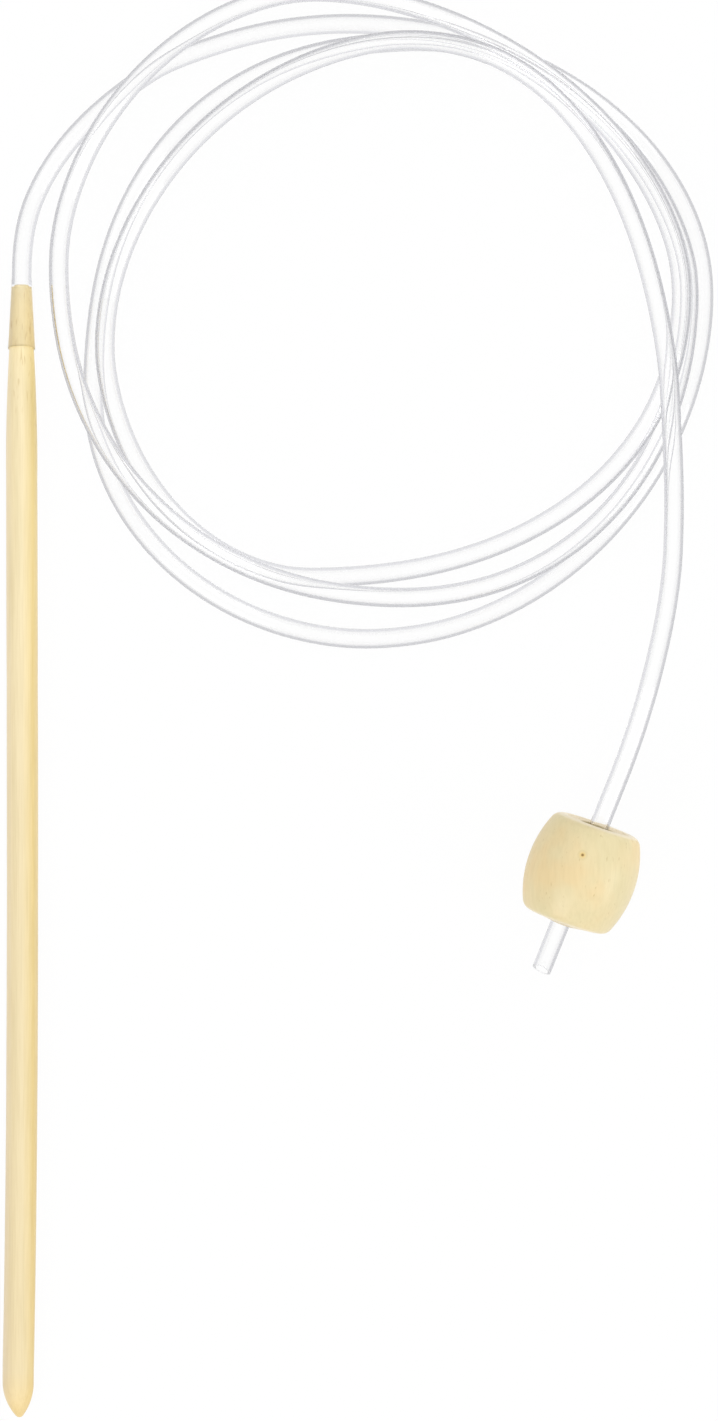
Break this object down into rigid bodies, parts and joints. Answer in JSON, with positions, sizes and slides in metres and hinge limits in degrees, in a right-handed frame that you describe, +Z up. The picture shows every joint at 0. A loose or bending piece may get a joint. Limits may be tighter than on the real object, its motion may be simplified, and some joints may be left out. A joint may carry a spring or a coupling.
{
  "type": "flexible knitting needle with stopper bead",
  "caption": "Bamboo needle with a blunt point, a long clear flexible tube stretched over its tenon, and a wooden bead that stops the stitches at the tube's free end.",
  "frame": {"origin": "on the surface that the part lies on, under the middle of the needle's length", "axes": "+Y along the needle from its point to the tube, +Z up from the surface, +X towards the coil"},
  "size_m": [0.1011, 0.2048, 0.0159],
  "materials": {
    "bamboo": "smooth lacquered bamboo with fine lengthwise grain",
    "clear_tube": "colourless clear hollow plastic",
    "bead_wood": "satin lacquered pale wood"
  },
  "bodies": {
    "needle": {"needle_shaft": "bamboo", "cable_sleeve": "clear_tube", "cable_lead": "clear_tube", "cable_coil": "clear_tube", "cable_tail": "clear_tube"},
    "bead": {"stopper_bead": "bead_wood"}
  },
  "joints": [
    {"name": "bead_slide", "type": "slide", "parent": "needle", "child": "bead", "axis": [0.3629, 0.9214, 0.1392], "range_m": [-0.005, 0.007]}
  ]
}
